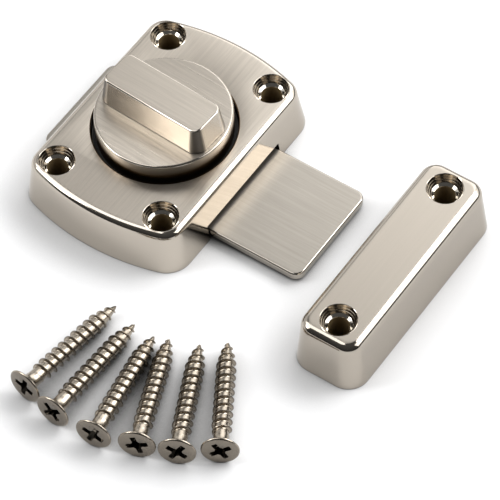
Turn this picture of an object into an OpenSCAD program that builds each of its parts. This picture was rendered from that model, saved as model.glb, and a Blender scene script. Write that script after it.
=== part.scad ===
// Surface door latch. A turn knob drives a flat bolt through a low drafted case, towards a box keeper.
// The origin is the centre of the case's screw holes on its back face.
// +X is the way the bolt is thrown, +Z points away from the door. Millimetres.

/* [Case] */
// Length of the case at its back face
case_l = 63.5; // [62:0.5:80]
// Width of the case at its back face, from slot to slot
case_w = 45.5; // [44:0.5:56]
// Height of the case above the door
case_h = 12.2; // [11.8:0.1:18]
// Radius of the case's upright corners at its back face
case_corner_r = 6.5; // [4:0.5:9]
// Radius of the bowed end walls
case_bow_r = 62.5; // [45:0.5:150]
// Slope of the case's outer walls from upright, in degrees
case_draft = 8.6; // [4:0.2:9]
// Rounding along the top edge of the case
case_edge_r = 1.9; // [0.8:0.1:2]
// Thickness of the roof between the knob's recess and the works
roof_t = 1.8; // [1.2:0.1:2]
// Depth of the round recess that the knob sits in
recess_depth = 2.3; // [1.6:0.1:2.4]
// Headroom of the slot in the side walls above the bolt
slot_head = 1.4; // [0.8:0.1:2.5]

/* [Screw holes] */
// Distance between the case's screw holes across the width
hole_dx = 30; // [28:0.5:32]
// Distance between the case's screw holes along the length
hole_dy = 45; // [44:0.5:47]
// Diameter of the plain part of every screw hole
hole_d = 4.9; // [4.4:0.1:5]
// Diameter of the mouth of every screw hole
rim_d = 8.9; // [8.4:0.1:9]
// Diameter of the ledge at the foot of the ringed countersink
ledge_d = 6.5; // [5.6:0.1:6.6]
// Depth of the ringed countersink
sink_depth = 2.4; // [1.6:0.1:2.6]
// Depth of the cone between the ledge and the plain hole
ledge_depth = 0.8; // [0.5:0.1:1.2]
// Number of turned rings in the countersink
ring_count = 3; // [2:1:6]

/* [Knob] */
// Diameter of the knob's disc
knob_d = 33; // [31:0.5:35]
// Gap between the disc and the wall of its recess
knob_gap = 1; // [0.6:0.1:1.6]
// How far the disc stands above the case
knob_rise = 4.8; // [3:0.1:8]
// Rounding along the rim of the disc
knob_edge_r = 0.5; // [0.2:0.1:1]
// Length of the grip bar at its foot
grip_l = 30.4; // [24:0.2:31]
// Width of the grip bar at its foot
grip_w = 12.2; // [8:0.2:13]
// Height of the grip bar above the disc
grip_h = 7.1; // [5:0.1:14]
// Slope of the grip bar's walls from upright, in degrees
grip_draft = 8.8; // [2:0.2:10]
// Radius of the grip bar's upright corners at its foot
grip_corner_r = 3.2; // [2.4:0.1:4]
// Rounding along the top edge of the grip bar
grip_edge_r = 0.4; // [0.2:0.1:0.8]
// Turn of the grip bar from the line of the bolt while the bolt is thrown
grip_turn = -3; // [-6:1:6]
// Distance of each grip screw from the knob's axis
grip_screw_x = 9; // [8:0.5:10]

/* [Bolt] */
// Width of the bolt plate
bolt_w = 28.6; // [28:0.2:29.4]
// Thickness of the bolt plate
bolt_t = 2.2; // [1.8:0.1:2.4]
// How far the thrown bolt stands out of the case
bolt_reach = 24.8; // [20:0.2:30]
// How far the tail of the thrown bolt stands out of the other side
bolt_tail = 3.8; // [1:0.2:6]
// Radius of the bolt's corners
bolt_corner_r = 2.5; // [1.5:0.1:4]
// Rounding along the edges of the bolt plate
bolt_edge_r = 0.5; // [0.2:0.1:0.8]
// Stroke of the bolt for a quarter turn of the knob
travel = 15.6; // [14:0.1:15.8]
// Gap over and under the bolt plate
bolt_gap = 0.2; // [0.15:0.05:0.3]
// Gap at each side of the bolt plate
bolt_side_gap = 0.35; // [0.2:0.05:0.5]

/* [Works] */
// Thickness of the back plate
plate_t = 0.7; // [0.5:0.1:1]
// Diameter of the spindle
spindle_d = 8; // [7:0.1:8.6]
// Width across the flats of the spindle's square
square_s = 6.2; // [5.6:0.1:6.4]
// Wall of the bush round the spindle
bush_wall = 1.5; // [1:0.1:2]
// Width of the bush's flange beyond its wall
flange_w = 2; // [1.2:0.1:2.5]
// Thickness of the bush's flange
flange_t = 0.8; // [0.6:0.1:1]
// Gap between the friction washer's rim and the wall of its recess
washer_gap = 0.4; // [0.3:0.1:2]
// Inner diameter of the friction washer under the disc
washer_hole_d = 20.5; // [20:0.5:23]
// Thickness of the friction washer under the disc
washer_t = 0.3; // [0.2:0.05:0.4]
// Thickness of the crank plate
crank_t = 2; // [1.6:0.1:2.2]
// Radius of the crank plate round the spindle
crank_r = 6.2; // [5.8:0.1:6.6]
// Radius of the crank's eye round the drive pin
eye_r = 3; // [2.6:0.1:3.2]
// Diameter of the drive pin
pin_d = 3.5; // [3:0.1:3.8]
// Distance of the hub's four flats from its axis
flat_r = 4.5; // [4.45:0.05:4.6]
// Distance of the hub's four rounded corners from its axis
cam_r = 5; // [4.9:0.05:5.2]
// Thickness of the detent spring's strip
spring_t = 0.5; // [0.4:0.05:0.6]
// Distance of each end of the detent spring from the knob's axis, along the bolt
spring_x = 10.5; // [9:0.5:12]
// Diameter of the posts that hold the detent spring
post_d = 2; // [1.6:0.1:2.4]

/* [Small screws] */
// Thread diameter of the crank screw and the two grip screws
small_screw_d = 3; // [2.5:0.1:3.2]
// Head diameter of the crank screw and the two grip screws
small_head_d = 5.4; // [5:0.1:5.6]
// Thread diameter of the back plate's screws
plate_screw_d = 2; // [1.6:0.1:2.2]
// Head diameter of the back plate's screws
plate_head_d = 3.4; // [3:0.1:3.6]

/* [Keeper] */
// Length of the keeper at its back face
keeper_l = 59.3; // [57:0.1:70]
// Width of the keeper at its back face
keeper_w = 18.5; // [17.5:0.1:24]
// Height of the keeper above the frame of the door
keeper_h = 14.1; // [11:0.1:20]
// Radius of the keeper's upright corners at its back face
keeper_corner_r = 5.3; // [4:0.1:7]
// Slope of the keeper's outer walls from upright, in degrees
keeper_draft = 6.2; // [2:0.2:8]
// Rounding along the top edge of the keeper
keeper_edge_r = 2.2; // [0.8:0.1:2.2]
// Distance between the keeper's two screw holes
keeper_hole_dy = 44; // [43.6:0.1:46]
// Thickness of the keeper's roof over its hollow
keeper_roof = 2.4; // [2:0.1:3]
// Thickness of the keeper's long walls at the top of its hollow
keeper_wall = 2.2; // [1.6:0.1:2.6]
// Height of the bolt's pocket in the keeper
pocket_h = 5; // [4.8:0.1:7]
// Room at each side of the bolt in its pocket
pocket_side = 0.8; // [0.4:0.1:1.2]
// Place of the keeper as laid out, along the line of the bolt
keeper_x = 66.3; // [60:0.1:100]
// Place of the keeper as laid out, across the line of the bolt
keeper_y = -3.3; // [-10:0.1:10]

/* [Wood screws] */
// Overall length of a wood screw
screw_l = 31; // [24:0.5:31.5]
// Outside diameter of a wood screw's thread
thread_d = 4.7; // [3.8:0.1:4.8]
// Diameter of a wood screw's plain shank
shank_d = 3.6; // [2.6:0.1:3.7]
// Diameter of a wood screw's head
head_d = 8.8; // [7.6:0.1:8.8]
// Height of the rim round a wood screw's head
head_rim = 0.5; // [0.3:0.1:0.8]
// Length of the neck under a wood screw's head
neck_l = 3; // [2:0.1:3.5]
// Length of the plain shank between neck and thread
shank_l = 0.6; // [0.6:0.1:4]
// Length of a wood screw's point
point_l = 3.6; // [3:0.1:7]
// Place of the first wood screw's head as laid out, across from the case's axis
lay_x = 13.2; // [10:0.1:20]
// Place of the first wood screw's head as laid out, along the case, before its middle
lay_y = 74; // [68:0.1:90]
// Gap between the heads of neighbouring wood screws as laid out, before each one's share
lay_gap = 1.2; // [0.9:0.1:2]

/* [Hidden] */

// Gap between two pieces that are pressed or screwed together
press = 0.02;
// Gap all round a shaft that turns in its bush
run = 0.05;
// Gap between flat faces that turn on each other
slip = 0.1;
// Gap between pieces that pass each other
pass = 0.3;
// Overlap of a cut past the face that it opens
eps = 1;

// The wood screws as they lie. Each head follows the one before: its share of the gap, the way of the
// step in degrees and the way its own point lies.
LAID = [
    [0, 0, 84],
    [0.59, -12.1, 89],
    [2.09, 1, 99.5],
    [1.23, 17.6, 112],
    [0.37, 21.6, 115.7],
    [0.69, 34.8, 121.7]
];
function laid(i) = i == 0
    ? [lay_x, -lay_y]
    : laid(i - 1) + (head_d + lay_gap * LAID[i][0]) * [cos(LAID[i][1]), sin(LAID[i][1])];
SCREWS = [for (i = [0:5]) [laid(i)[0], laid(i)[1], LAID[i][2]]];

// Heights, from the door upwards.
bolt_z0 = plate_t + bolt_gap;
bolt_z1 = bolt_z0 + bolt_t;
guide_z = bolt_z1 + bolt_gap;
slot_z = bolt_z1 + slot_head;
recess_z = case_h - recess_depth;
room_z = recess_z - roof_t;
crank_z0 = guide_z + 0.6;
crank_z1 = crank_z0 + crank_t;
hub_z1 = room_z - pass;
knob_z0 = recess_z + washer_t + slip;
knob_z1 = case_h + knob_rise;

// The crank's pin stands half a quarter turn from the middle of its stroke at each end.
drive_r = travel / sqrt(2);
pin_turn = 45;
// The pin's path is an arc, and its lead over a steady stroke is at most a thirtieth of its radius.
pin_play = drive_r * 0.03 + 0.15;
slot_r = pin_d / 2 + pin_play;

bush_r = spindle_d / 2 + run + bush_wall;
flange_r = bush_r + flange_w;
channel_y = bolt_w / 2 + bolt_side_gap;
room_x = max(drive_r * cos(pin_turn) + eye_r, crank_r) + 4.4;
room_y = max(channel_y, drive_r + eye_r + pass);
room_corner_r = 2;
mouth_x = case_w / 2 - 3.2;
plate_x = case_w / 2 - 2.4;
plate_y = hole_dy / 2 - hole_d / 2 - 0.9;
plate_screw_x = 8;
plate_screw_y = (room_y + plate_y) / 2;
plate_screw_l = 4.5;
keeper_hollow_x = keeper_w / 2 - (keeper_h - keeper_roof) * tan(keeper_draft) - keeper_wall;
keeper_hollow_y = bolt_w / 2 + pocket_side;
post_y = cam_r + 3.2;
grip_screw_z0 = knob_z0 + 2.6;

// Points along an arc, from angle a to angle b in n steps.
function arc(cx, cy, r, a, b, n) = [for (i = [0:n]) [cx + r * cos(a + (b - a) * i / n), cy + r * sin(a + (b - a) * i / n)]];

// Outline of a plate with straight sides, bowed ends and rounded corners, drawn in by inset all round.
function bowed(l, w, bow_r, corner_r, inset) =
    let(
        r = max(corner_r - inset, 0.3),
        big = bow_r - inset,
        cx = w / 2 - inset - r,
        by = l / 2 - bow_r,
        cy = by + sqrt(pow(big - r, 2) - pow(cx, 2)),
        a = atan2(cy - by, cx),
        half = concat(
            arc(cx, cy, r, 0, a, 7),
            [for (i = [1:11]) let(t = a + (180 - 2 * a) * i / 12) [big * cos(t), by + big * sin(t)]],
            arc(-cx, cy, r, 180 - a, 180, 7)
        )
    )
    concat(half, [for (p = half) -p]);

// Outline of a rectangle with rounded corners, drawn in by inset all round.
function rounded(l, w, corner_r, inset, n) =
    let(
        r = max(corner_r - inset, 0.2),
        cx = w / 2 - inset - r,
        cy = l / 2 - inset - r
    )
    concat(
        arc(cx, cy, r, 0, 90, n),
        arc(-cx, cy, r, 90, 180, n),
        arc(-cx, -cy, r, 180, 270, n),
        arc(cx, -cy, r, 270, 360, n)
    );

// Profile of a drafted wall with a rounded top edge: a list of heights and insets.
function drafted(h, draft, r, n) =
    let(inset = (h - r + r * sin(draft)) * tan(draft) + r * cos(draft))
    concat(
        [[0, 0]],
        [for (i = [0:n]) let(t = draft + (90 - draft) * i / n) [h - r + r * sin(t), inset - r * cos(t)]]
    );

// Profile of an upright wall with a rounded edge at its foot and at its top.
function soft(h, r, n) = concat(
    [for (i = [0:n]) let(t = 90 * i / n) [r - r * cos(t), r - r * sin(t)]],
    [for (i = [0:n]) let(t = 90 * i / n) [h - r + r * sin(t), r - r * cos(t)]]
);

// Closed skin over a stack of outlines of as many points each, at the heights zs.
module skin(outlines, zs) {
    n = len(outlines[0]);
    m = len(outlines);
    polyhedron(
        points = [for (k = [0:m - 1]) for (p = outlines[k]) [p[0], p[1], zs[k]]],
        faces = concat(
            [[for (i = [0:n - 1]) i]],
            [for (k = [0:m - 2]) for (i = [0:n - 1]) [k * n + i, (k + 1) * n + i, k * n + (i + 1) % n]],
            [for (k = [0:m - 2]) for (i = [0:n - 1])
                [k * n + (i + 1) % n, (k + 1) * n + i, (k + 1) * n + (i + 1) % n]],
            [[for (i = [n - 1:-1:0]) (m - 1) * n + i]]
        )
    );
}

// Upright block with rounded corners, from z0 to z1.
module block(x, y, r, z0, z1) {
    translate([0, 0, z0]) linear_extrude(z1 - z0) union() {
        square([2 * x, 2 * (y - r)], center = true);
        square([2 * (x - r), 2 * y], center = true);
        for (sx = [-1, 1], sy = [-1, 1]) translate([sx * (x - r), sy * (y - r)]) circle(r, $fn = 48);
    }
}

// Round bar or hole from z0 to z1.
module rod(r, z0, z1) {
    translate([0, 0, z0]) cylinder(r = r, h = z1 - z0, $fn = 64);
}

// Hole for a wood screw: plain below, then a cone, a ledge and a countersink of turned rings.
module screw_hole(top) {
    plain = hole_d / 2;
    ledge = ledge_d / 2;
    rim = rim_d / 2;
    step_r = (rim - ledge) / ring_count;
    step_z = sink_depth / ring_count;
    rotate_extrude($fn = 64) polygon(concat(
        [[0, -eps], [plain, -eps], [plain, top - sink_depth - ledge_depth], [ledge, top - sink_depth]],
        [for (i = [0:ring_count - 1]) for (j = [0, 1])
            [ledge + step_r * (i + 0.75 + 0.25 * j), top - sink_depth + step_z * (i + 0.95 + 0.05 * j)]],
        [[rim, top + eps], [0, top + eps]]
    ));
}

// The four screw holes' places.
module at_case_holes() {
    for (sx = [-1, 1], sy = [-1, 1]) translate([sx * hole_dx / 2, sy * hole_dy / 2, 0]) children();
}

// The four places of the back plate's screws.
module at_plate_screws() {
    for (sx = [-1, 1], sy = [-1, 1]) translate([sx * plate_screw_x, sy * plate_screw_y, 0]) children();
}

// Hollow for the works: the bolt's channel, the room over it and the mouths in both side walls.
module works_hollow() {
    block(room_x, room_y, room_corner_r, -eps, room_z);
    translate([-mouth_x, -channel_y, -eps]) cube([2 * mouth_x, 2 * channel_y, guide_z + eps]);
    for (side = [-1, 1])
        translate([side > 0 ? mouth_x : -case_w, -channel_y, -eps])
            cube([case_w - mouth_x, 2 * channel_y, slot_z + eps]);
}

module case() {
    wall = drafted(case_h, case_draft, case_edge_r, 6);
    color([0.76, 0.73, 0.68]) difference() {
        skin([for (w = wall) bowed(case_l, case_w, case_bow_r, case_corner_r, w[1])], [for (w = wall) w[0]]);
        rod(knob_d / 2 + knob_gap, recess_z, case_h + eps);
        rod(bush_r + press, room_z - eps, recess_z + eps);
        works_hollow();
        block(plate_x + press, plate_y + press, room_corner_r, -eps, plate_t);
        at_case_holes() screw_hole(case_h);
        at_plate_screws() rod(plate_screw_d / 2 + press, 0, plate_screw_l + pass);
        for (side = [-1, 1])
            translate([side * spring_x, -post_y, 0]) rod(post_d / 2 + press, room_z - eps, room_z + roof_t * 0.6);
    }
}

module back_plate() {
    color([0.66, 0.66, 0.65]) difference() {
        block(plate_x, plate_y, room_corner_r, 0, plate_t);
        at_plate_screws() rod(plate_screw_d / 2 + press, -eps, plate_t + eps);
        at_plate_screws() rod(plate_head_d / 2 + press, -eps, plate_t * 0.6);
    }
}

module back_plate_screws() {
    color([0.6, 0.58, 0.54]) at_plate_screws() {
        rod(plate_head_d / 2, 0, plate_t * 0.6);
        rod(plate_screw_d / 2, 0, plate_screw_l);
    }
}

// Bush in the roof, with a flange in the recess.
module spindle_bush() {
    inner = spindle_d / 2 + run;
    color([0.82, 0.68, 0.42]) rotate_extrude($fn = 64) polygon([
        [inner, room_z], [bush_r, room_z], [bush_r, recess_z],
        [flange_r, recess_z], [flange_r, recess_z + flange_t], [inner, recess_z + flange_t]
    ]);
}

// Black fibre washer. It fills the foot of the recess, so the gap round the knob looks dark.
module friction_washer() {
    color([0.1, 0.1, 0.1]) difference() {
        rod(knob_d / 2 + knob_gap - washer_gap, recess_z, recess_z + washer_t);
        rod(washer_hole_d / 2, recess_z - eps, recess_z + washer_t + eps);
    }
}

// Bowed strip spring that bears on the hub's flats, with an eye round each post.
module detent_spring() {
    z0 = crank_z1 + pass / 2;
    z1 = hub_z1;
    eye = post_d / 2 + press + spring_t;
    crest_y = -(cam_r + slip);
    sag = crest_y + post_y - eye + 0.1;
    bow_r = (pow(spring_x, 2) + pow(sag, 2)) / (2 * sag);
    color([0.55, 0.56, 0.58]) difference() {
        union() {
            intersection() {
                translate([0, crest_y - bow_r, 0]) difference() {
                    rod(bow_r, z0, z1);
                    rod(bow_r - spring_t, z0 - eps, z1 + eps);
                }
                translate([-spring_x, -post_y, z0]) cube([2 * spring_x, post_y, z1 - z0]);
            }
            for (side = [-1, 1]) translate([side * spring_x, -post_y, 0]) rod(eye, z0, z1);
        }
        for (side = [-1, 1]) translate([side * spring_x, -post_y, 0]) rod(eye - spring_t, z0 - eps, z1 + eps);
    }
}

// Headed posts pressed into the roof.
module detent_posts() {
    z0 = crank_z1 + pass / 2;
    color([0.62, 0.62, 0.62]) for (side = [-1, 1]) translate([side * spring_x, -post_y, 0]) {
        rod(post_d / 2, z0 - 0.5, room_z + roof_t * 0.6);
        rod(post_d / 2 + spring_t + 0.2, z0 - 0.5, z0 - press);
    }
}

module at_grip_screws() {
    rotate(grip_turn) for (side = [-1, 1]) translate([side * grip_screw_x, 0, 0]) children();
}

// Disc of the knob, hollowed below for the bush's flange, the spindle and the grip's screws.
module knob_disc() {
    r = knob_d / 2;
    e = knob_edge_r;
    color([0.78, 0.75, 0.7]) difference() {
        rotate_extrude($fn = 96) polygon(concat(
            [[0, knob_z0], [r - e / 2, knob_z0], [r, knob_z0 + e / 2]],
            arc(r - e, knob_z1 - e, e, 0, 90, 4),
            [[0, knob_z1]]
        ));
        rod(flange_r + pass, knob_z0 - eps, recess_z + flange_t + pass);
        rod(spindle_d / 2 + press, knob_z0, knob_z1 - knob_edge_r - 1.5);
        at_grip_screws() rod(small_head_d / 2 + press, knob_z0 - eps, grip_screw_z0);
        at_grip_screws() rod(small_screw_d / 2 + press, knob_z0, knob_z1 + eps);
    }
}

module knob_grip() {
    wall = drafted(grip_h, grip_draft, grip_edge_r, 3);
    color([0.8, 0.77, 0.72]) difference() {
        rotate(grip_turn) skin(
            [for (w = wall) rounded(grip_w, grip_l, grip_corner_r, w[1], 7)],
            [for (w = wall) knob_z1 + w[0]]
        );
        at_grip_screws() rod(small_screw_d / 2 + press, knob_z1 - eps, knob_z1 + 3.8);
    }
}

module grip_screws() {
    color([0.6, 0.58, 0.54]) at_grip_screws() {
        rod(small_head_d / 2, grip_screw_z0 - 1.6, grip_screw_z0 - press);
        rod(small_screw_d / 2, grip_screw_z0 - 1.6, knob_z1 + 3.5);
    }
}

// Round in the bush and in the disc, square in the crank, drilled from below for the crank's screw.
module spindle() {
    top = knob_z1 - knob_edge_r - 1.5 - press;
    color([0.58, 0.58, 0.58]) difference() {
        union() {
            rod(spindle_d / 2, hub_z1, top);
            intersection() {
                rod(spindle_d / 2, crank_z0, hub_z1 + press);
                block(square_s / 2, square_s / 2, 0.3, crank_z0, hub_z1 + press);
            }
        }
        rod(small_screw_d / 2 + press, crank_z0 - eps, crank_z0 + 6);
    }
}

// Crank plate with a four-flat hub above it, a square hole for the spindle and an eye for the drive pin.
module crank() {
    lean = acos((crank_r - eye_r) / drive_r);
    hub_y = (crank_r - 0.05) * sin(lean);
    hub_x = (crank_r - 0.05) * cos(lean);
    eye_y = (eye_r - 0.05) * sin(lean);
    eye_x = drive_r + (eye_r - 0.05) * cos(lean);
    color([0.64, 0.64, 0.63]) rotate(pin_turn) difference() {
        union() {
            rod(crank_r, crank_z0, crank_z1);
            translate([drive_r, 0, 0]) rod(eye_r, crank_z0, crank_z1);
            translate([0, 0, crank_z0]) linear_extrude(crank_t)
                polygon([[hub_x, hub_y], [hub_x, -hub_y], [eye_x, -eye_y], [eye_x, eye_y]]);
            intersection() {
                rod(cam_r, crank_z1 - 0.5, hub_z1);
                rotate(pin_turn) block(flat_r, flat_r, 0.3, crank_z1 - 0.5, hub_z1);
            }
        }
        intersection() {
            rod(spindle_d / 2 + press, crank_z0 - eps, hub_z1 + eps);
            rotate(-pin_turn)
                block(square_s / 2 + press, square_s / 2 + press, 0.3, crank_z0 - eps, hub_z1 + eps);
        }
        translate([drive_r, 0, 0]) rod(pin_d * 0.4 + press, crank_z0 - eps, crank_z1 + eps);
    }
}

// Shouldered pin, riveted in the crank's eye.
module drive_pin() {
    tip = bolt_z0 + 0.2;
    r = pin_d / 2;
    color([0.7, 0.7, 0.72]) rotate(pin_turn) translate([drive_r, 0, 0]) rotate_extrude($fn = 64) polygon([
        [0, tip], [r - 0.3, tip], [r, tip + 0.3], [r, crank_z0 - press], [pin_d * 0.4, crank_z0 - press],
        [pin_d * 0.4, crank_z1], [0, crank_z1]
    ]);
}

module crank_washer() {
    color([0.7, 0.7, 0.72]) difference() {
        rod(small_head_d / 2 + 1.2, crank_z0 - 0.4, crank_z0);
        rod(small_screw_d / 2 + press, crank_z0 - eps, crank_z0 + eps);
    }
}

// Cheese-head screw that holds the crank on the spindle. Its head runs in the bolt's long slot.
module crank_screw() {
    z1 = crank_z0 - 0.4;
    color([0.6, 0.58, 0.54]) {
        rod(small_head_d / 2, bolt_z0 + 0.4, z1);
        rod(small_screw_d / 2, z1 - press, crank_z0 + 5.5);
    }
}

// Bolt plate, with a long slot round the crank's screw and a cross slot for the drive pin.
module bolt() {
    x0 = -case_w / 2 - bolt_tail;
    x1 = case_w / 2 + bolt_reach;
    edge = soft(bolt_t, bolt_edge_r, 3);
    run_r = small_head_d / 2 + pass;
    pin_x = drive_r * cos(pin_turn);
    color([0.74, 0.72, 0.67]) difference() {
        translate([(x0 + x1) / 2, 0, bolt_z0]) skin(
            [for (w = edge) rounded(bolt_w, x1 - x0, bolt_corner_r, w[1], 7)],
            [for (w = edge) w[0]]
        );
        for (x = [0, travel]) translate([x, 0, 0]) rod(run_r, 0, bolt_z1 + eps);
        translate([0, -run_r, 0]) cube([travel, 2 * run_r, bolt_z1 + eps]);
        for (y = [drive_r * sin(pin_turn), drive_r]) translate([pin_x, y, 0]) rod(slot_r, 0, bolt_z1 + eps);
        translate([pin_x - slot_r, drive_r * sin(pin_turn), 0])
            cube([2 * slot_r, drive_r * (1 - sin(pin_turn)), bolt_z1 + eps]);
    }
}

// Box keeper, hollow from its back, with a pocket for the bolt in the wall that faces the case.
module keeper() {
    wall = drafted(keeper_h, keeper_draft, keeper_edge_r, 6);
    hx = keeper_hollow_x;
    hy = keeper_hollow_y;
    color([0.79, 0.75, 0.7]) translate([keeper_x, keeper_y, 0]) difference() {
        skin([for (w = wall) rounded(keeper_l, keeper_w, keeper_corner_r, w[1], 8)], [for (w = wall) w[0]]);
        block(hx, hy, room_corner_r, -eps, keeper_h - keeper_roof);
        translate([-keeper_w, -hy, -eps]) cube([keeper_w, 2 * hy, pocket_h + eps]);
        for (side = [-1, 1]) translate([0, side * keeper_hole_dy / 2, 0]) screw_hole(keeper_h);
    }
}

// Wood screw along +X from the centre of its head, rim and thread resting on the floor.
// Its thread is the plain envelope of the turns.
module wood_screw(place) {
    rh = head_d / 2;
    rt = thread_d / 2;
    rs = shank_d / 2;
    thread_x0 = head_rim + neck_l + shank_l;
    thread_x1 = screw_l - point_l;
    tilt = atan((rh - rt) / (thread_x1 - head_rim));
    flare = [for (i = [0:5]) let(t = 90 * i / 5) [rs + (rh - 0.3 - rs) * (1 - sin(t)), neck_l * (1 - cos(t))]];
    color([0.66, 0.62, 0.55])
        translate([place[0], place[1], head_rim * sin(tilt) + rh * cos(tilt)])
            rotate([0, 90 + tilt, place[2]])
                rotate_extrude($fn = 48) polygon(concat(
                    [[0, 0], [rh - 0.2, 0], [rh, 0.2], [rh, head_rim]],
                    [for (p = flare) [p[0], head_rim + p[1]]],
                    [[rs, thread_x0], [rt, thread_x0 + 0.6], [rt, thread_x1], [0, screw_l]]
                ));
}

case();
back_plate();
back_plate_screws();
spindle_bush();
friction_washer();
detent_spring();
detent_posts();
knob_disc();
knob_grip();
grip_screws();
spindle();
crank();
drive_pin();
crank_washer();
crank_screw();
bolt();
keeper();
wood_screw(SCREWS[0]);  // wood_screw_1
wood_screw(SCREWS[1]);  // wood_screw_2
wood_screw(SCREWS[2]);  // wood_screw_3
wood_screw(SCREWS[3]);  // wood_screw_4
wood_screw(SCREWS[4]);  // wood_screw_5
wood_screw(SCREWS[5]);  // wood_screw_6
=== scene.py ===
"""Visible pieces, finishes and stage of a surface door latch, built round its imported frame.

Lengths are metres, in the frame's own axes: +X the way the bolt is thrown, +Z away from the door.
"""

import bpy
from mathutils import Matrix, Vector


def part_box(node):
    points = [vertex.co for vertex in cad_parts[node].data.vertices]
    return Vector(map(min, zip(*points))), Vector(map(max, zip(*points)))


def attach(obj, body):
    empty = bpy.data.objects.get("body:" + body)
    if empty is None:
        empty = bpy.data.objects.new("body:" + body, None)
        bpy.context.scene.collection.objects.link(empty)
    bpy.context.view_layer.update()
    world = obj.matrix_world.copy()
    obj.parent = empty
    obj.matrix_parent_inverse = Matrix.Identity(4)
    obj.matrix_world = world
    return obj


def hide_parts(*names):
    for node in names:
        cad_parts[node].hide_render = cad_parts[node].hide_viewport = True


bl_info = {
    "name": "Surface door latch",
    "version": (1, 0, 0),
    "blender": (4, 5, 0),
    "location": "3D View > Sidebar > Latch",
    "description": "Builds the visible pieces, finishes and stage of a turn-knob door latch",
    "category": "Object",
}

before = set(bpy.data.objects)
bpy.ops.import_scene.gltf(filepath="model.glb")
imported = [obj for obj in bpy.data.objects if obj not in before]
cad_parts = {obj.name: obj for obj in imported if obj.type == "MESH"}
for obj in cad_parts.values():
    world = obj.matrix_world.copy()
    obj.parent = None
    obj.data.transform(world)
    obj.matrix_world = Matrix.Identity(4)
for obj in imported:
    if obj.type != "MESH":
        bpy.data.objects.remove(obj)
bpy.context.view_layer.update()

import math
from functools import reduce

import bpy
import numpy as np
from bpy.props import FloatProperty, FloatVectorProperty, IntProperty, PointerProperty
from mathutils import Matrix, Vector

MM = 0.001
# Distance from a rounded edge at which an extra ring keeps the flat face beside it flat in shading
EASE = 0.3 * MM
# How far a cut runs past the face that it opens
OPEN = 2 * MM
# Rounding along the foot of the case's and the keeper's walls, and in the corners of their hollows
FOOT_R = 0.25 * MM
HOLLOW_R = 2 * MM
# Signs of X and Y at the corners of a plan, anticlockwise
CORNERS = ((1, 1), (-1, 1), (-1, -1), (1, -1))
# Z of a face's normal where it starts to count as flat and where it is wholly flat
FLAT = (0.96, 0.999)
# Z of a face's normal where it stops being a wall and where it is wholly an edge
EDGE = (0.25, 0.35)
# Height of the bumps in the grain of the metals
GRAIN = 0.02 * MM
# Distance from a piece's middle at which its normals lean by the whole of a bow or dish
LEAN_AT = 13 * MM


def span(node):
    """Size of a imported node's box along X, Y and Z."""
    low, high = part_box(node)
    return high - low


def middle(node):
    """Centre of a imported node's box."""
    low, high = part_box(node)
    return (low + high) / 2


def length(name, default, description):
    """Setting for a length, kept in metres and shown in the scene's unit."""
    return FloatProperty(name=name, description=description, default=default, min=0.0, precision=5,
                         subtype="DISTANCE", unit="LENGTH")


def slope(name, degrees, description):
    """Setting for an angle, kept in radians."""
    return FloatProperty(name=name, description=description, default=math.radians(degrees),
                         subtype="ANGLE", unit="ROTATION")


def share(name, default, description):
    """Setting for a share between none and all."""
    return FloatProperty(name=name, description=description, default=default, min=0.0, max=1.0,
                         subtype="FACTOR")


def tint(name, default, description):
    """Setting for a linear colour."""
    return FloatVectorProperty(name=name, description=description, default=default, size=3, min=0.0, max=1.0,
                               subtype="COLOR")


def watts(name, default, description):
    """Setting for the power of a lamp."""
    return FloatProperty(name=name, description=description, default=default, min=0.0, unit="POWER")


def level(name, default, description):
    """Setting for a brightness."""
    return FloatProperty(name=name, description=description, default=default, min=0.0)


class CaseSizes(bpy.types.PropertyGroup):
    """Sizes of the case and of its cuts."""

    corner_r: length("Corner radius", 6.5 * MM, "Radius of the upright corners at the back face")
    bow_r: length("Bow radius", 62.5 * MM, "Radius of the bowed end walls")
    draft: slope("Draft", 8.6, "Slope of the outer walls from upright")
    edge_r: length("Edge radius", 1.9 * MM, "Rounding along the top edge")
    recess_r: length("Recess radius", span("knob_disc").x / 2 + 1.0 * MM, "Radius of the knob's round recess")
    recess_edge: length("Recess edge", 0.4 * MM, "Rounding along the rim of the recess")
    roof: length("Roof", 1.8 * MM, "Thickness of the roof under the recess")
    slot_head: length("Slot headroom", 1.4 * MM, "Height of the side slots above the bolt")
    wall: length("Wall", 3.2 * MM, "Thickness of the side walls at the slots")
    bolt_play: length("Bolt play", 0.35 * MM, "Gap between the bolt and each side of its channel")
    guide_play: length("Guide play", 0.2 * MM, "Gap between the bolt and the channel's ceiling")
    works_x: length("Works reach", 15.2 * MM, "Reach of the hollow for the crank to each side")
    flange_w: length("Flange width", 1.98 * MM, "Width of the bush's flange beyond its seat")
    hole_dx: length("Hole spacing across", 30 * MM, "Distance between screw holes across the case")
    hole_dy: length("Hole spacing along", 45 * MM, "Distance between screw holes along the case")


class HoleSizes(bpy.types.PropertyGroup):
    """Sizes of the ringed countersinks."""

    plain_r: length("Plain radius", 2.45 * MM, "Radius of the plain part of a screw hole")
    ledge_r: length("Ledge radius", 3.25 * MM, "Radius of the ledge under the rings")
    rim_r: length("Rim radius", 4.4 * MM, "Radius of the mouth")
    sink: length("Sink depth", 1.9 * MM, "Depth of the ringed countersink")
    ledge: length("Ledge depth", 0.5 * MM, "Depth of the cone under the ledge")
    rings: IntProperty(name="Rings", description="Number of turned rings", default=3, min=1, max=8)
    edge: length("Plain edge", 0.12 * MM, "Rounding where the plain part opens")


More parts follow.
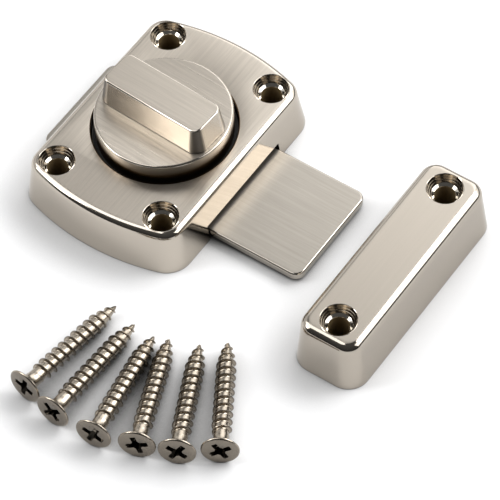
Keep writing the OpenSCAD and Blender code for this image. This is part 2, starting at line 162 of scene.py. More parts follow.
class KnobSizes(bpy.types.PropertyGroup):
    """Sizes of the knob's disc and grip."""

    disc_edge: length("Disc edge", 0.5 * MM, "Rounding along the disc's rim")
    grip_l: length("Grip length", 30.4 * MM, "Length of the grip at its foot")
    grip_w: length("Grip width", 12.2 * MM, "Width of the grip at its foot")
    grip_draft: slope("Grip draft", 8.8, "Slope of the grip's walls from upright")
    grip_corner: length("Grip corner", 3.2 * MM, "Radius of the grip's upright corners at its foot")
    grip_edge: length("Grip edge", 0.5 * MM, "Rounding along the grip's top edge")
    grip_turn: slope("Grip turn", -3, "Turn of the grip from the line of the bolt")
    spindle_play: length("Spindle play", 0.02 * MM, "Gap between the spindle and its bore in the disc")
    bush_play: length("Bush play", 0.3 * MM, "Gap between the bush and its hollow in the disc")


class BoltSizes(bpy.types.PropertyGroup):
    """Sizes of the bolt plate."""

    corner_r: length("Corner radius", 2.5 * MM, "Radius of the plate's corners")
    edge_r: length("Edge radius", 0.5 * MM, "Rounding along the plate's edges")
    travel: length("Travel", 15.6 * MM, "Stroke for a quarter turn of the knob")
    screw_play: length("Screw play", 0.3 * MM, "Gap between the crank's screw and the long slot")
    pin_play: length("Pin play", 0.48 * MM, "Gap between the drive pin and the cross slot")


class KeeperSizes(bpy.types.PropertyGroup):
    """Sizes of the keeper and of its hollow."""

    corner_r: length("Corner radius", 5.3 * MM, "Radius of the upright corners at the back face")
    draft: slope("Draft", 6.2, "Slope of the outer walls from upright")
    edge_r: length("Edge radius", 2.2 * MM, "Rounding along the top edge")
    hole_dy: length("Hole spacing", 44 * MM, "Distance between the two screw holes")
    roof: length("Roof", 2.4 * MM, "Thickness of the roof over the hollow")
    wall: length("Wall", 2.2 * MM, "Thickness of the long walls at the top of the hollow")
    bolt_play: length("Bolt play", 0.8 * MM, "Gap between the bolt and each end of the hollow")
    pocket_h: length("Pocket height", 5 * MM, "Height of the bolt's pocket")


class ScrewSizes(bpy.types.PropertyGroup):
    """Sizes of the loose wood screws."""

    overall: length("Length", 31 * MM, "Overall length")
    head_r: length("Head radius", 4.4 * MM, "Radius of the head")
    rim: length("Rim", 0.5 * MM, "Height of the rim round the head")
    neck: length("Neck", 3.0 * MM, "Length of the flared neck")
    shank: length("Shank", 0.6 * MM, "Length of the plain shank")
    shank_r: length("Shank radius", 1.8 * MM, "Radius of the plain shank")
    thread_r: length("Thread radius", 2.35 * MM, "Outside radius of the thread")
    core_r: length("Core radius", 1.66 * MM, "Radius between the turns of the thread")
    pitch: length("Pitch", 2.1 * MM, "Distance between turns of the thread")
    point: length("Point", 3.6 * MM, "Length of the point")
    cross: length("Cross", 2.7 * MM, "Reach of the crossed recess from the axis")
    cross_w: length("Cross width", 1.3 * MM, "Width of the recess's arms at the top")


class Finishes(bpy.types.PropertyGroup):
    """Colours and grain of the metals."""

    case: tint("Case", (0.53, 0.48, 0.415), "Nickel of the case")
    knob: tint("Knob", (0.54, 0.49, 0.425), "Nickel of the knob")
    bolt: tint("Bolt", (0.405, 0.373, 0.328), "Nickel of the bolt")
    keeper: tint("Keeper", (0.475, 0.429, 0.37), "Nickel of the keeper")
    screws: tint("Wood screws", (0.39, 0.342, 0.28), "Plating of the wood screws")
    # Painted shade on the wood screws: black in the crossed recess and darker along the thread's crests
    painted_shade: tint("Painted_shade", (0.012, 0.01, 0.008), "Black in the wood screws' deep places")
    # Painted shade on the rings, a painted highlight on the ledge, and a bore of raw metal darkened further
    # as painted shade
    rings: tint("Rings", (0.24, 0.205, 0.16), "Turned rings of the countersinks")
    ledge: tint("Ledge", (0.72, 0.67, 0.59), "Ledge and cone under the rings")
    bore: tint("Bore", (0.16, 0.115, 0.06), "Raw metal of the plain holes")
    # Painted shade in the knob's recess
    recess: tint("Recess", (0.05, 0.045, 0.04), "Wall and floor of the knob's recess")
    # Painted shade at the foot of the disc's wall and in the crease along the grip's foot
    disc_foot_shade: tint("Disc foot", (0.1, 0.064, 0.032), "Foot of the disc's wall")
    seam: tint("Seam", (0.02, 0.016, 0.012), "Seam between grip and disc")
    # Painted shade on the grip's upright corners
    corner: tint("Grip corner", (0.09, 0.08, 0.068), "Upright corners of the grip")
    satin: share("Satin", 0.34, "Roughness of the brushed faces")
    polish: share("Polish", 0.11, "Roughness of the polished edges and walls")
    grain_l: length("Grain length", 9 * MM, "Length of a brush stroke")
    grain_w: length("Grain width", 0.2 * MM, "Width of a brush stroke")


class StageSizes(bpy.types.PropertyGroup):
    """Camera, floor and light."""

    azimuth: slope("Azimuth", 37.75, "Turn of the camera from looking along +Y")
    elevation: slope("Elevation", 53.898, "Height angle of the camera")
    roll: slope("Roll", -3.8, "Turn of the camera about its own line of sight")
    distance: length("Distance", 779.2 * MM, "Distance from the camera to its target")
    focal: FloatProperty(name="Focal length", description="Lens for a 36 mm wide image", default=240.51,
                         min=1.0)
    target_x: length("Target X", 32.247 * MM, "X of the camera's target on the floor")
    target_y: FloatProperty(name="Target Y", description="Y of the camera's target on the floor",
                            default=-12.12 * MM, subtype="DISTANCE", unit="LENGTH", precision=5)
    key: watts("Key", 2.9, "Power of the main lamp behind at the right")
    panel: watts("Panel", 4.0, "Power of the wide lamp at the right")
    strip: watts("Strip", 3.05, "Power of the wide lamp at the left")
    fill: watts("Fill", 0.95, "Power of the low lamp in front at the left")
    rear: watts("Rear", 0.46, "Power of the near lamp behind")
    back: level("Back", 0.35, "Brightness of the room behind")
    sky: level("Sky", 1.0, "Strength of the light all round")
    ground: tint("Ground", (0.83, 0.83, 0.835), "Clear floor")
    shade: tint("Shade", (0.06, 0.06, 0.06), "Floor in the deepest shade")
    # Painted shade: the floor under the screw holes, seen through them
    under: tint("Under holes", (0.03, 0.024, 0.018), "Floor at the foot of the screw holes")
    lift: share("Lift", 0.2, "Brightness that the camera sees added to the clear floor")


SETTINGS = {
    "latch_case": CaseSizes,
    "latch_holes": HoleSizes,
    "latch_knob": KnobSizes,
    "latch_bolt": BoltSizes,
    "latch_keeper": KeeperSizes,
    "latch_screws": ScrewSizes,
    "latch_finish": Finishes,
    "latch_stage": StageSizes,
}


# Shapes

def arc(cx, cy, r, start, end, n):
    """Points on a circle: the centre plus r times cosine and sine of n + 1 equal angle steps."""
    t = np.linspace(start, end, n + 1)
    return np.stack([cx + r * np.cos(t), cy + r * np.sin(t)], axis=1)


def bowed_outline(long, wide, bow_r, corner_r, inset):
    """Plan with straight sides and bowed ends, drawn in by inset.

    The bow is a circle about a point on the middle line. A corner circle lies inside the bow and against
    the side, so its centre is as far from the bow's as their radii differ. Half the plan is worked out, and
    the other half is its negative.
    """
    r = max(corner_r - inset, 0.3 * MM)
    big = bow_r - inset
    cx = wide / 2 - inset - r
    by = long / 2 - bow_r
    cy = by + math.sqrt((big - r) ** 2 - cx ** 2)
    a = math.atan2(cy - by, cx)
    half = np.vstack([
        [[cx + r, cy - EASE]],
        arc(cx, cy, r, 0, a, 22),
        arc(0, by, big, a, math.pi - a, 48)[1:-1],
        arc(-cx, cy, r, math.pi - a, math.pi, 22),
        [[-cx - r, cy - EASE]],
    ])
    return np.vstack([half, -half])


def rounded_outline(long, wide, corner_r, inset):
    """Rectangle with corners of corner_r, drawn in by inset, with a point just past both ends of each arc."""
    r = max(corner_r - inset, 0.2 * MM)
    cx, cy = wide / 2 - inset - r, long / 2 - inset - r
    quarter = math.pi / 2
    parts = []
    for k, (sx, sy) in enumerate(CORNERS):
        corner = arc(sx * cx, sy * cy, r, k * quarter, (k + 1) * quarter, 20)
        ahead = np.array([math.cos(k * quarter), math.sin(k * quarter)])
        across = np.array([-ahead[1], ahead[0]])
        parts += [corner[:1] - across * EASE, corner, corner[-1:] - ahead * EASE]
    return np.vstack(parts)


def drafted_profile(height, draft, edge_r, foot_r=0.0):
    """Height and inset of each ring up a sloping wall with a rounded top edge and, if asked, a rounded foot.

    The edge is a circle that touches both the wall and the top. Just below and past it lies one more ring,
    which keeps the shading of the flat faces flat.
    """
    t = np.linspace(draft, math.pi / 2, 17)
    reach = (height - edge_r + edge_r * math.sin(draft)) * math.tan(draft) + edge_r * math.cos(draft)
    edge = np.stack([height - edge_r + edge_r * np.sin(t), reach - edge_r * np.cos(t)], axis=1)
    low = edge[0] - EASE * np.array([math.cos(draft), math.sin(draft)])
    start = [[0, 0]]
    if foot_r:
        u = np.linspace(0, math.pi / 2, 5)
        start = np.stack([foot_r - foot_r * np.cos(u), foot_r - foot_r * np.sin(u)], axis=1)
        start = np.vstack([[[0, foot_r + EASE]], start, [[foot_r + EASE, EASE * math.tan(draft)]]])
    return np.vstack([start, [low], edge, [[height, reach + EASE]]])


def soft_profile(height, edge_r):
    """Height and inset of each ring up a wall that is rounded at its foot and at its top."""
    t = np.linspace(0, math.pi / 2, 9)
    foot = np.stack([edge_r - edge_r * np.cos(t), edge_r - edge_r * np.sin(t)], axis=1)
    head = np.stack([height - edge_r + edge_r * np.sin(t), edge_r - edge_r * np.cos(t)], axis=1)
    ease = [[0, edge_r + EASE]], [[height, edge_r + EASE]]
    return np.vstack([ease[0], foot, head, ease[1]])


def loft(outline, profile, base=0.0):
    """Closed solid whose ring at height z is the outline drawn in by that ring's inset."""
    plans = [outline(inset) for _, inset in profile]
    rings = [np.column_stack([plan, np.full(len(plan), base + z)]) for plan, (z, _) in zip(plans, profile)]
    n, k = len(rings[0]), len(rings)
    i, j = np.meshgrid(np.arange(k - 1), np.arange(n), indexing="ij")
    j2 = (j + 1) % n
    quads = np.stack([i * n + j, i * n + j2, (i + 1) * n + j2, (i + 1) * n + j], axis=-1).reshape(-1, 4)
    faces = quads.tolist() + [list(range(n - 1, -1, -1)), list(range((k - 1) * n, k * n))]
    return np.vstack(rings), faces


def grid_solid(grid, shift=0):
    """Closed solid from rings of points, welded where they meet.

    Each ring closes on itself or, with a shift, runs on into the ring that lies shift rings further.
    Every cell is two triangles.
    """
    k, n = grid.shape[:2]
    i, j = np.meshgrid(np.arange(k - 1), np.arange(n), indexing="ij")
    over = np.where(j == n - 1, shift, 0)
    keep = i + 1 + over < k
    i, j, over = i[keep], j[keep], over[keep]
    a, b = i * n + j, (i + 1) * n + j
    c, d = (i + 1 + over) * n + (j + 1) % n, (i + over) * n + (j + 1) % n
    tris = np.concatenate([np.stack([a, b, c], -1), np.stack([a, c, d], -1)])
    return weld(grid.reshape(-1, 3), tris)


def weld(points, tris):
    """Merges points that round to the same ten-thousandth of a millimetre and drops triangles that go flat.

    If the volume under the triangles is negative, all of them are turned round.
    """
    places = np.round(points / (0.0001 * MM)).astype(np.int64)
    _, first, back = np.unique(places, axis=0, return_index=True, return_inverse=True)
    tris = back.reshape(-1)[tris]
    sound = (tris[:, 0] != tris[:, 1]) & (tris[:, 1] != tris[:, 2]) & (tris[:, 2] != tris[:, 0])
    points, tris = points[first], tris[sound]
    p, q, r = (points[tris[:, c]] for c in range(3))
    if np.einsum("ij,ij->i", p, np.cross(q, r)).sum() < 0:
        tris = tris[:, ::-1]
    return points, tris.tolist()


def turned(profile, centre=(0.0, 0.0), n=96):
    """Solid of revolution: each profile point (radius, height) goes round the upright axis at centre."""
    profile = np.asarray(profile, float)
    t = np.linspace(0, 2 * math.pi, n, endpoint=False)
    x = centre[0] + profile[:, :1] * np.cos(t)
    y = centre[1] + profile[:, :1] * np.sin(t)
    z = np.repeat(profile[:, 1:], n, axis=1)
    return grid_solid(np.stack([x, y, z], axis=-1))


def box_solid(low, high):
    """Rectangular block from its lowest to its highest corner, for cutting."""
    x, y, z = zip(low, high)
    points = [[x[a], y[b], z[c]] for c in (0, 1) for b in (0, 1) for a in (0, 1)]
    faces = [[0, 2, 3, 1], [4, 5, 7, 6], [0, 1, 5, 4], [2, 6, 7, 3], [0, 4, 6, 2], [1, 3, 7, 5]]
    return np.array(points), faces


def block_solid(x, y, corner_r, low, high, centre=(0.0, 0.0)):
    """Upright block with rounded corners about centre, reaching x and y to each side, for cutting."""
    r = min(corner_r, 0.999 * x, 0.999 * y)
    quarter = math.pi / 2
    corners = [arc(sx * (x - r), sy * (y - r), r, k * quarter, (k + 1) * quarter, 16)
               for k, (sx, sy) in enumerate(CORNERS)]
    ring = np.vstack(corners) + np.array(centre)
    return loft(lambda inset: ring, [[low, 0], [high, 0]])


def ringed_hole(s, centre, top):
    """Screw hole: plain, then a cone, a ledge and a countersink whose wall steps out ring by ring.

    Each ring is a long steep wall, a rounded shoulder and a short flat. Small rounds break the edge of the
    plain part and the rim.
    """
    step = np.array([(s.rim_r - s.ledge_r) / s.rings, s.sink / s.rings])
    wall_end, shoulder = np.array([0.62, 0.86]), np.array([0.72, 0.96])
    foot = top - s.sink - s.ledge
    cone = math.atan2(s.ledge, s.ledge_r - s.plain_r)
    back = 0.1 * MM
    profile = [[0, -OPEN], [s.plain_r, -OPEN], [s.plain_r, foot - 0.15 * MM],
               [s.plain_r + 0.03 * MM, foot - 0.02 * MM], [s.plain_r + s.edge, foot + 0.08 * MM],
               [s.ledge_r - back * math.cos(cone), foot + s.ledge - back * math.sin(cone)],
               [s.ledge_r, top - s.sink + 0.03 * MM]]
    for k in range(s.rings):
        start = np.array([s.ledge_r, top - s.sink]) + step * k
        profile += [start + wall_end * step, start + shoulder * step]
        profile += [start + step] if k < s.rings - 1 else []
    profile += [[s.rim_r - 0.02 * MM, top - 0.08 * MM], [s.rim_r + 0.1 * MM, top + 0.02 * MM],
                [s.rim_r + 0.1 * MM, top + OPEN], [0, top + OPEN]]
    return turned(profile, centre)


def add_mesh(name, shape):
    """New object at the origin whose mesh is the shape's points and faces."""
    points, faces = shape
    mesh = bpy.data.meshes.new(name)
    mesh.from_pydata(np.asarray(points).tolist(), [], faces)
    mesh.update()
    piece = bpy.data.objects.new(name, mesh)
    bpy.context.scene.collection.objects.link(piece)
    return piece


def carve(piece, shapes):
    """Cuts the shapes out of the piece one by one, and keeps the result as its mesh."""
    tools = []
    for number, shape in enumerate(shapes):
        tool = add_mesh("{}_cut_{}".format(piece.name, number), shape)
        cut = piece.modifiers.new("Cut {}".format(number), "BOOLEAN")
        cut.operation = "DIFFERENCE"
        cut.solver = "EXACT"
        cut.object = tool
        tools.append(tool)
    graph = bpy.context.evaluated_depsgraph_get()
    carved = bpy.data.meshes.new_from_object(piece.evaluated_get(graph))
    if len(carved.polygons) == 0:
        raise RuntimeError("{} vanished when it was cut".format(piece.name))
    piece.modifiers.clear()
    old, piece.data = piece.data, carved
    carved.name = piece.name
    bpy.data.meshes.remove(old)
    for tool in tools:
        mesh = tool.data
        bpy.data.objects.remove(tool)
        bpy.data.meshes.remove(mesh)


def dress(piece, body, material, node, crease=30.0):
    """Shades the piece smooth except at creases, gives it its material and puts it in its node's place."""
    piece.data.materials.clear()
    piece.data.materials.append(material)
    piece.data.shade_smooth()
    piece.data.set_sharp_from_angle(angle=math.radians(crease))
    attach(piece, body)
    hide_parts(node)


# Finishes

def add_node(tree, kind, settings=None, **inputs):
    """New shader node with its settings, its input values and its links.

    An input is named, with underscores for spaces, or is n and its number.
    """
    node = tree.nodes.new("ShaderNode" + kind)
    for key, value in (settings or {}).items():
        setattr(node, key, value)
    for key, value in inputs.items():
        numbered = key[0] == "n" and key[1:].isdigit()
        socket = node.inputs[int(key[1:]) if numbered else key.replace("_", " ")]
        if isinstance(value, bpy.types.NodeSocket):
            tree.links.new(value, socket)
        else:
            socket.default_value = value
    return node


def ramp(tree, value, start, end, low=0.0, high=1.0, kind="LINEAR"):
    """Number that goes from low to high as the value goes from start to end, in a curve of that kind."""
    return add_node(tree, "MapRange", {"interpolation_type": kind}, Value=value, From_Min=start, From_Max=end,
                    To_Min=low, To_Max=high).outputs["Result"]


def smooth(tree, value, start, end, high=1.0):
    """Number that goes from nought to high in a soft curve as the value goes from start to end."""
    return ramp(tree, value, start, end, 0.0, high, "SMOOTHSTEP")


def mix(tree, amount, low, high):
    """Number between low and high by amount."""
    return ramp(tree, amount, 0.0, 1.0, low, high)


def blend(tree, amount, first, second):
    """Colour between the first and the second by amount. Each is a socket or three numbers."""
    first, second = (c if isinstance(c, bpy.types.NodeSocket) else (*c, 1) for c in (first, second))
    return add_node(tree, "Mix", {"data_type": "RGBA"}, Factor=amount, n6=first, n7=second).outputs[2]


def axes(tree, vector):
    """The vector's X, Y and Z."""
    return add_node(tree, "SeparateXYZ", Vector=vector).outputs


def object_place(tree):
    """Place in the piece's own axes."""
    return add_node(tree, "TexCoord").outputs["Object"]


def less(tree, first, second):
    """The first number less the second."""
    return math_node(tree, "SUBTRACT", first, second)


def strokes(tree, place, long, wide, angle):
    """Noise drawn out along a line: the place is turned back by angle and divided by the stroke's size."""
    turn = add_node(tree, "Mapping", {"vector_type": "TEXTURE"}, Vector=place, Rotation=(0, 0, angle),
                    Scale=(long, wide, 4 * wide))
    return add_node(tree, "TexNoise", Vector=turn.outputs["Vector"], Scale=1.0, Detail=3.0,
                    Roughness=0.62).outputs["Fac"]


def new_metal(name, metallic=1.0):
    """New material with a plain surface. Returns it with its tree and its surface node."""
    material = bpy.data.materials.new(name)
    material.use_nodes = True
    tree = material.node_tree
    tree.nodes.clear()
    surface = add_node(tree, "BsdfPrincipled", Metallic=metallic)
    add_node(tree, "OutputMaterial", Surface=surface.outputs["BSDF"])
    return material, tree, surface


def shades(tree, amount, colour, dark, light):
    """Colour between two tones of itself by amount."""
    tones = add_node(tree, "ValToRGB", Fac=amount)
    tones.color_ramp.elements[0].color = [c * dark for c in colour] + [1]
    tones.color_ramp.elements[1].color = [min(c * light, 1) for c in colour] + [1]
    return tones.outputs["Color"]


def math_node(tree, operation, first, second=0.0):
    """Result of an operation on one or two numbers."""
    return add_node(tree, "Math", {"operation": operation}, n0=first, n1=second).outputs[0]


def times(tree, *numbers):
    """Product of the numbers."""
    return reduce(lambda first, second: math_node(tree, "MULTIPLY", first, second), numbers)


def plus(tree, *numbers):
    """Sum of the numbers."""
    return reduce(lambda first, second: math_node(tree, "ADD", first, second), numbers)


def in_holes(tree, place, centre, apart, radius, below):
    """One inside a radius about the screw holes and below a height, else none.

    The holes lie in mirrored places about a centre, so half their spacing is enough to find them.
    """
    axis = axes(tree, place)
    x, y = (less(tree, math_node(tree, "ABSOLUTE", less(tree, axis[k], centre[k])), apart[k]) for k in (0, 1))
    away = math_node(tree, "SQRT", plus(tree, times(tree, x, x), times(tree, y, y)))
    near = math_node(tree, "LESS_THAN", away, radius)
    return times(tree, near, math_node(tree, "LESS_THAN", axis[2], below))


def in_bores(tree, place, centre, apart, top):
    """One in the plain part of the screw holes and just round it, else none."""
    holes = bpy.context.scene.latch_holes
    below = top - holes.sink - holes.ledge - 0.02 * MM
    return in_holes(tree, place, centre, apart, 1.03 * holes.plain_r, below)


def paint_hole_shading(tree, place, plated_and_shaded, centre, apart, top, recess=0.0):
    """Colour of the plating with painted shade on the turned rings, a painted highlight on the ledge and a
    brown bore in the screw holes, which is raw metal darkened further as painted shade.

    A recess about the centre, if there is one, is painted nearly black as shade from a little below its rim.
    """
    finish, holes = bpy.context.scene.latch_finish, bpy.context.scene.latch_holes
    # Painted shade on the rings, a painted highlight on the ledge, painted shade in the bore and the recess
    rings = in_holes(tree, place, centre, apart, holes.rim_r + 0.05 * MM, top - 0.1 * MM)
    ledge = in_holes(tree, place, centre, apart, holes.rim_r, top - holes.sink + 0.02 * MM)
    painted_zones = [(rings, finish.rings), (ledge, finish.ledge),
             (in_bores(tree, place, centre, apart, top), finish.bore)]
    if recess:
        painted_zones.append((in_holes(tree, place, centre, (0, 0), recess, top - 0.45 * MM), finish.recess))
    for inside, colour in painted_zones:
        plated_and_shaded = blend(tree, inside, plated_and_shaded, colour)
    return plated_and_shaded


def paint_corner_shade(tree, plated_and_shaded, satin_walls):
    """Colour and roughness of the walls with the upright corners rougher and painted darker as shade.

    A wall is near a corner by the product of the X and Y of its normal.
    """
    dark = bpy.context.scene.latch_finish.corner
    facing = axes(tree, add_node(tree, "TexCoord").outputs["Normal"])
    corner = math_node(tree, "ABSOLUTE", times(tree, facing["X"], facing["Y"]))
    # Painted shade: the corners darken towards the corner colour
    plated_and_shaded = blend(tree, smooth(tree, corner, 0.1, 0.42, 0.85), plated_and_shaded, dark)
    return plated_and_shaded, plus(tree, times(tree, corner, 0.6), satin_walls)


def lean_normals(tree, place, flat, bow, dish):
    """Normal that leans towards the middle: by bow along X off the flat faces, by dish along Y on them."""
    axis = axes(tree, place)
    lean_x = times(tree, axis["X"], -bow / LEAN_AT, less(tree, 1.0, flat))
    lean_y = times(tree, axis["Y"], -dish / LEAN_AT, flat)
    lean = add_node(tree, "CombineXYZ", X=lean_x, Y=lean_y).outputs[0]
    turn = {"vector_type": "VECTOR", "convert_from": "OBJECT", "convert_to": "WORLD"}
    lean = add_node(tree, "VectorTransform", turn, Vector=lean).outputs[0]
    normal = add_node(tree, "NewGeometry").outputs["Normal"]
    normal = add_node(tree, "VectorMath", {"operation": "ADD"}, n0=normal, n1=lean).outputs[0]
    return add_node(tree, "VectorMath", {"operation": "NORMALIZE"}, n0=normal).outputs[0]


def brushed_nickel(name, colour, angle, strength=1.0, holes=None, bow=0.0, dish=0.0, satin_walls=None,
                   seam=None):
    """Nickel whose flat faces are brushed along a line and whose edges and walls are polished.

    A face counts as flat by how far its normal points up. Fine and broad strokes vary its colour, roughness
    and height. Screw holes, where there are any, get painted shade and a painted highlight, and their bores
    aren't metallic. Satin walls have that roughness in place of the polish. A foot shade is the height at
    which a painted shade covers the metal, the height at which it has faded out, and its colour. With a bow
    the walls shade as if slightly hollow and have rougher corners, painted darker as shade. With a dish the
    flat face shades as if slightly hollow.
    """
    finish = bpy.context.scene.latch_finish
    material, tree, surface = new_metal(name)
    place = object_place(tree)
    up = axes(tree, add_node(tree, "NewGeometry").outputs["Normal"])["Z"]
    flat = smooth(tree, up, *FLAT)
    fine = strokes(tree, place, finish.grain_l, finish.grain_w, angle)
    broad = strokes(tree, place, 2.5 * finish.grain_l, 3.5 * finish.grain_w, angle)
    both = plus(tree, times(tree, fine, 0.45), times(tree, broad, 0.55))
    spread = ramp(tree, both, 0.36, 0.64)
    plated_and_shaded = shades(tree, mix(tree, flat, 0.5, spread), colour, 1 - 0.1 * strength, 1 + 0.1 * strength)
    # Painted shade and a painted highlight in the screw holes
    if holes:
        plated_and_shaded = paint_hole_shading(tree, place, plated_and_shaded, *holes)
        raw = in_bores(tree, place, *holes[:3])
        tree.links.new(less(tree, 1.0, raw), surface.inputs["Metallic"])
    # Painted shade that darkens the wall towards its foot
    if seam:
        covered, clear, shade = seam
        plated_and_shaded = blend(tree, ramp(tree, axes(tree, place)["Z"], clear, covered), plated_and_shaded, shade)
    # Rougher corners with painted shade
    if bow:
        plated_and_shaded, satin_walls = paint_corner_shade(tree, plated_and_shaded, satin_walls)
    tree.links.new(plated_and_shaded, surface.inputs["Base Color"])
    satin = mix(tree, spread, finish.satin + 0.05 * strength, finish.satin - 0.05 * strength)
    walls = ramp(tree, up, *EDGE, satin_walls, finish.polish) if satin_walls else finish.polish
    tree.links.new(mix(tree, flat, walls, satin), surface.inputs["Roughness"])
    bump = add_node(tree, "Bump", Strength=0.7 * strength, Distance=GRAIN, Height=times(tree, both, flat))
    if bow or dish:
        tree.links.new(lean_normals(tree, place, flat, bow, dish), bump.inputs["Normal"])
    tree.links.new(bump.outputs["Normal"], surface.inputs["Normal"])
    return material


def cast_nickel(name, colour, angle, holes):
    """Satin nickel with a very fine, soft grain and polished edges, and painted shade and highlight in its
    screw holes.
    """
    return brushed_nickel(name, colour, angle, 0.2, holes)


def plain_metal(name, colour, rough, grain, wear=0.12, deep=False, metallic=1.0):
    """Turned or stamped metal, or fibre: fine cloudy noise varies its tone, roughness and height.

    Where it has painted shade, its points carry the attribute shaded, which darkens them.
    """
    material, tree, surface = new_metal(name, metallic)
    place = object_place(tree)
    cloud = add_node(tree, "TexNoise", Vector=place, Scale=1 / grain, Detail=4.0,
                     Roughness=0.6).outputs["Fac"]
    broad = add_node(tree, "TexNoise", Vector=place, Scale=0.12 / grain, Detail=2.0).outputs["Fac"]
    even = ramp(tree, mix(tree, 0.5, cloud, broad), 0.3, 0.7)
    tone = shades(tree, even, colour, 1 - wear, 1 + wear)
    # Painted shade, read from the points' shaded attribute
    if deep:
        depth = add_node(tree, "Attribute", {"attribute_name": "deep"}).outputs["Fac"]
        tone = blend(tree, depth, tone, bpy.context.scene.latch_finish.painted_shade)
    tree.links.new(tone, surface.inputs["Base Color"])
    tree.links.new(mix(tree, even, rough + 0.06, rough - 0.04), surface.inputs["Roughness"])
    bump = add_node(tree, "Bump", Strength=0.2, Distance=GRAIN, Height=cloud)
    tree.links.new(bump.outputs["Normal"], surface.inputs["Normal"])
    return material


# Pieces

class LATCH_OT_case(bpy.types.Operator):
    """Lofts the case's bowed plan up its drafted wall and cuts recess, holes, slots and works out of it"""

    bl_idname = "latch.case"
    bl_label = "Case"

    def execute(self, context):
        s, holes = context.scene.latch_case, context.scene.latch_holes
        size = span("case")
        top = size.z
        plate, bolt, bush = span("back_plate"), span("bolt"), span("spindle_bush")
        bolt_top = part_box("bolt")[1].z
        floor_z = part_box("friction_washer")[0].z
        room_z = floor_z - s.roof
        channel = bolt.y / 2 + s.bolt_play
        guide_z, slot_z = bolt_top + s.guide_play, bolt_top + s.slot_head
        mouth = size.x / 2 - s.wall
        seat_r = bush.x / 2 - s.flange_w
        plate_play, overlap = 0.02 * MM, 0.5 * MM
        piece = add_mesh("case_body", loft(
            lambda inset: bowed_outline(size.y, size.x, s.bow_r, s.corner_r, inset),
            drafted_profile(top, s.draft, s.edge_r, FOOT_R)))
        foot, edge = 0.2 * MM, s.recess_edge
        rim = arc(s.recess_r + edge, top - edge, edge, math.pi, math.pi / 2, 5) + [0, 0.01 * MM]
        recess = [[0, floor_z], [s.recess_r - foot, floor_z], [s.recess_r, floor_z + foot], *rim.tolist(),
                  [s.recess_r + edge, top + OPEN], [0, top + OPEN]]
        cuts = [turned(recess, n=160)]
        cuts += [ringed_hole(holes, (x * s.hole_dx / 2, y * s.hole_dy / 2), top)
                 for x, y in ((-1, -1), (-1, 1), (1, -1), (1, 1))]
        # The bush's seat, the hollow for the crank, the bolt's channel, its two slots and the plate's recess
        cuts += [
            turned([[0, room_z - OPEN], [seat_r, room_z - OPEN],
                    [seat_r, floor_z + OPEN], [0, floor_z + OPEN]]),
            block_solid(s.works_x, channel, HOLLOW_R, guide_z - overlap, room_z),
            box_solid((-mouth, -channel, -OPEN), (mouth, channel, guide_z)),
            box_solid((mouth, -channel, -2 * OPEN), (size.x, channel, slot_z)),
            box_solid((-size.x, -channel, -2 * OPEN), (-mouth, channel, slot_z)),
            block_solid(plate.x / 2 + plate_play, plate.y / 2 + plate_play, HOLLOW_R, -3 * OPEN, plate.z),
        ]
        carve(piece, cuts)
        # Screw holes and recess radius for the painted shade and highlight in them
        screw_holes = ((0, 0), (s.hole_dx / 2, s.hole_dy / 2), top, s.recess_r + 0.05 * MM)
        nickel = brushed_nickel("Brushed nickel, case", context.scene.latch_finish.case, math.pi / 2,
                                holes=screw_holes)
        dress(piece, "latch", nickel, "case")
        return {"FINISHED"}


class LATCH_OT_keeper(bpy.types.Operator):
    """Lofts the keeper up its drafted wall and cuts its holes, hollow and bolt pocket out of it"""

    bl_idname = "latch.keeper"
    bl_label = "Keeper"

    def execute(self, context):
        s, holes = context.scene.latch_keeper, context.scene.latch_holes
        size, centre = span("keeper"), middle("keeper")
        at = (centre.x, centre.y)
        hollow_x = size.x / 2 - (size.z - s.roof) * math.tan(s.draft) - s.wall
        hollow_y = span("bolt").y / 2 + s.bolt_play
        piece = add_mesh("keeper_body", loft(
            lambda inset: rounded_outline(size.y, size.x, s.corner_r, inset) + np.array(at),
            drafted_profile(size.z, s.draft, s.edge_r, FOOT_R)))
        carve(piece, [
            ringed_hole(holes, (at[0], at[1] + s.hole_dy / 2), size.z),
            ringed_hole(holes, (at[0], at[1] - s.hole_dy / 2), size.z),
            block_solid(hollow_x, hollow_y, HOLLOW_R, -OPEN, size.z - s.roof, at),
            box_solid((at[0] - size.x, at[1] - hollow_y, -2 * OPEN), (at[0], at[1] + hollow_y, s.pocket_h)),
        ])
        nickel = cast_nickel("Satin nickel, keeper", context.scene.latch_finish.keeper, math.pi / 2,
                             (at, (0, s.hole_dy / 2), size.z))
        dress(piece, "latch", nickel, "keeper")
        return {"FINISHED"}


class LATCH_OT_disc(bpy.types.Operator):
    """Turns the knob's disc, with the hollow for the bush and the bore for the spindle below"""

    bl_idname = "latch.disc"
    bl_label = "Knob disc"

    def execute(self, context):
        s, finish = context.scene.latch_knob, context.scene.latch_finish
        low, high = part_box("knob_disc")
        r, e = (high.x - low.x) / 2, s.disc_edge
        bore_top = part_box("spindle")[1].z + s.spindle_play
        bore_r = span("spindle").x / 2 + s.spindle_play
        flange = span("spindle_bush").x / 2 + s.bush_play
        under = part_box("spindle_bush")[1].z + s.bush_play
        bevel = 0.25 * MM
        profile = np.vstack([
            [[0, bore_top], [bore_r, bore_top], [bore_r, under], [flange, under], [flange, low.z]],
            [[r - bevel, low.z], [r, low.z + bevel], [r, high.z - e - EASE]],
            arc(r - e, high.z - e, e, 0, math.pi / 2, 8),
            [[r - e - EASE, high.z], [0, high.z]],
        ])
        piece = add_mesh("knob_disc_body", turned(profile, n=160))
        # Painted shade: the disc's wall darkens towards its foot
        seam = (high.z - 3.3 * MM, high.z - 0.5 * MM, finish.disc_foot_shade)
        nickel = brushed_nickel("Brushed nickel, disc", finish.knob, s.grip_turn, 1.6, dish=0.045,
                                satin_walls=0.28, seam=seam)
        dress(piece, "knob", nickel, "knob_disc")
        return {"FINISHED"}


